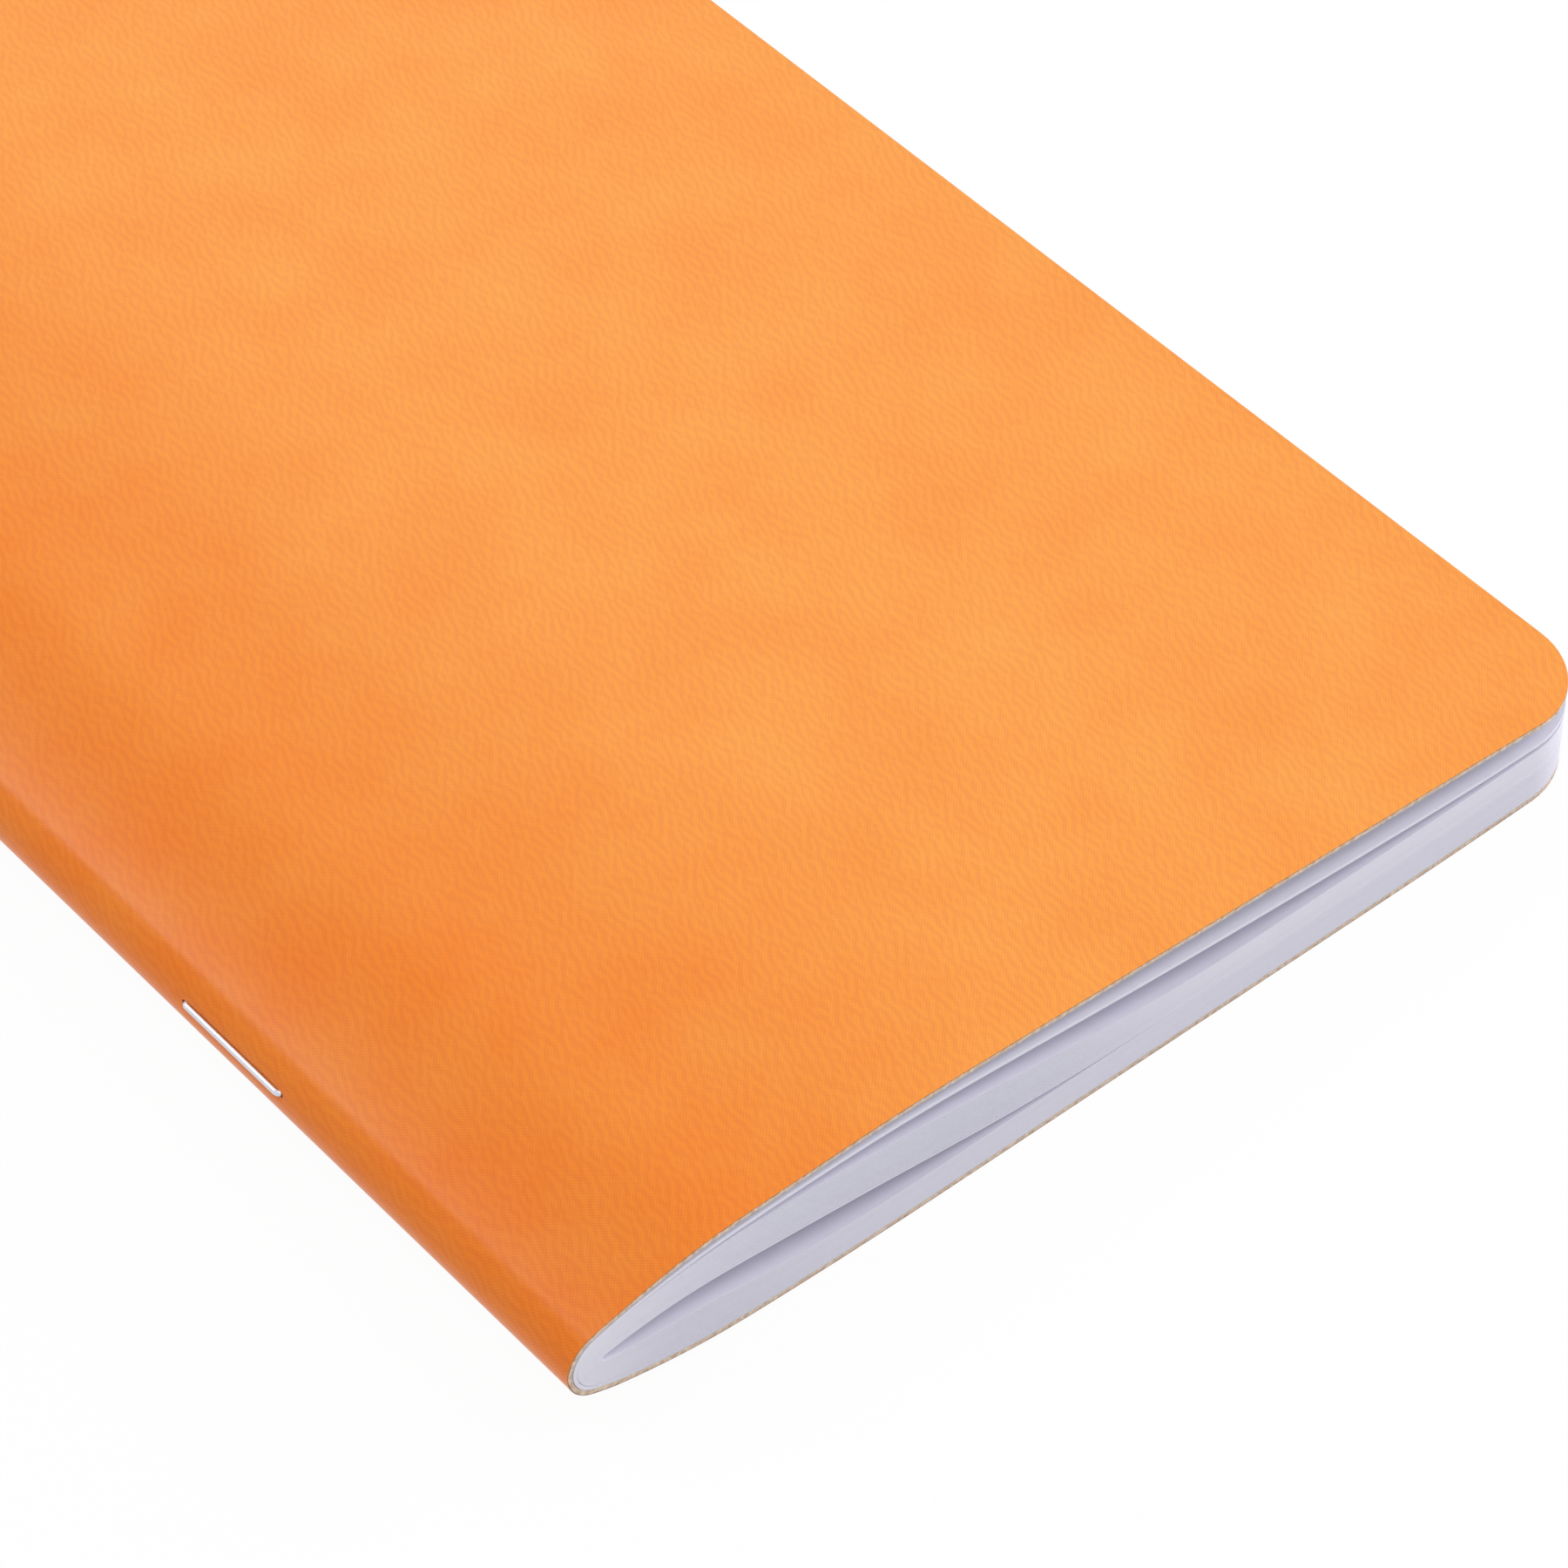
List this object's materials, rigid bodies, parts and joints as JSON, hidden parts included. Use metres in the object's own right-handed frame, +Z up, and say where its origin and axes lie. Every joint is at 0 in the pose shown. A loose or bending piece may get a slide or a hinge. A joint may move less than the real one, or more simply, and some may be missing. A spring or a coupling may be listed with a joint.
{
  "type": "stapled exercise book",
  "caption": "Pocket exercise book with folded paper sheets in a grained orange card cover, held by wire staples through the fold, with covers and leaves that turn about the spine.",
  "frame": {"origin": "middle of the footprint, on the surface that the book lies on", "axes": "+X from the spine to the fore edge, +Y from tail to head, +Z up out of the front cover"},
  "size_m": [0.0902, 0.14, 0.0108],
  "materials": {
    "cover_card": "satin printed card with a fine leather grain",
    "page_paper": "matt white paper",
    "staple_wire": "bright galvanised wire"
  },
  "bodies": {
    "back_cover": {"back_cover": "cover_card"},
    "back_leaves": {"sheet_01_back_leaf": "page_paper", "sheet_02_back_leaf": "page_paper", "sheet_03_back_leaf": "page_paper", "sheet_04_back_leaf": "page_paper", "sheet_05_back_leaf": "page_paper", "sheet_06_back_leaf": "page_paper", "sheet_07_back_leaf": "page_paper", "sheet_08_back_leaf": "page_paper", "sheet_09_back_leaf": "page_paper", "sheet_10_back_leaf": "page_paper", "sheet_11_back_leaf": "page_paper", "sheet_12_back_leaf": "page_paper", "sheet_13_back_leaf": "page_paper", "sheet_14_back_leaf": "page_paper", "sheet_15_back_leaf": "page_paper", "sheet_16_back_leaf": "page_paper", "sheet_17_back_leaf": "page_paper", "sheet_18_back_leaf": "page_paper", "sheet_19_back_leaf": "page_paper", "sheet_20_back_leaf": "page_paper", "sheet_21_back_leaf": "page_paper", "sheet_22_back_leaf": "page_paper", "sheet_23_back_leaf": "page_paper", "sheet_24_back_leaf": "page_paper"},
    "spine": {"cover_spine": "cover_card", "sheet_folds": "page_paper", "tail_staple": "staple_wire", "head_staple": "staple_wire"},
    "front_leaves": {"sheet_04_front_leaf": "page_paper", "sheet_05_front_leaf": "page_paper", "sheet_06_front_leaf": "page_paper", "sheet_07_front_leaf": "page_paper", "sheet_08_front_leaf": "page_paper", "sheet_09_front_leaf": "page_paper", "sheet_10_front_leaf": "page_paper", "sheet_11_front_leaf": "page_paper", "sheet_12_front_leaf": "page_paper", "sheet_13_front_leaf": "page_paper", "sheet_14_front_leaf": "page_paper", "sheet_15_front_leaf": "page_paper", "sheet_16_front_leaf": "page_paper", "sheet_17_front_leaf": "page_paper", "sheet_18_front_leaf": "page_paper", "sheet_19_front_leaf": "page_paper", "sheet_20_front_leaf": "page_paper", "sheet_21_front_leaf": "page_paper", "sheet_22_front_leaf": "page_paper", "sheet_23_front_leaf": "page_paper", "sheet_24_front_leaf": "page_paper"},
    "first_leaves": {"sheet_01_front_leaf": "page_paper", "sheet_02_front_leaf": "page_paper", "sheet_03_front_leaf": "page_paper"},
    "front_cover": {"front_cover": "cover_card"}
  },
  "joints": [
    {"name": "back_leaves_turn", "type": "hinge", "parent": "back_cover", "child": "back_leaves", "pos_m": [-0.04193, 0, 0.00561], "axis": [0, -1, 0], "range_deg": [0, 180]},
    {"name": "spine_turn", "type": "hinge", "parent": "back_leaves", "child": "spine", "pos_m": [-0.04193, 0, 0.00561], "axis": [0, -1, 0], "range_deg": [0, 90]},
    {"name": "middle_opening", "type": "hinge", "parent": "back_leaves", "child": "front_leaves", "pos_m": [-0.04193, 0, 0.00561], "axis": [0, -1, 0], "range_deg": [0, 180]},
    {"name": "first_leaves_turn", "type": "hinge", "parent": "front_leaves", "child": "first_leaves", "pos_m": [-0.04193, 0, 0.00561], "axis": [0, -1, 0], "range_deg": [0, 180]},
    {"name": "front_cover_turn", "type": "hinge", "parent": "first_leaves", "child": "front_cover", "pos_m": [-0.04193, 0, 0.00561], "axis": [0, -1, 0], "range_deg": [0, 180]}
  ],
  "couplings": [
    {"joint": "spine_turn", "follows": "middle_opening", "ratio": 0.5}
  ]
}
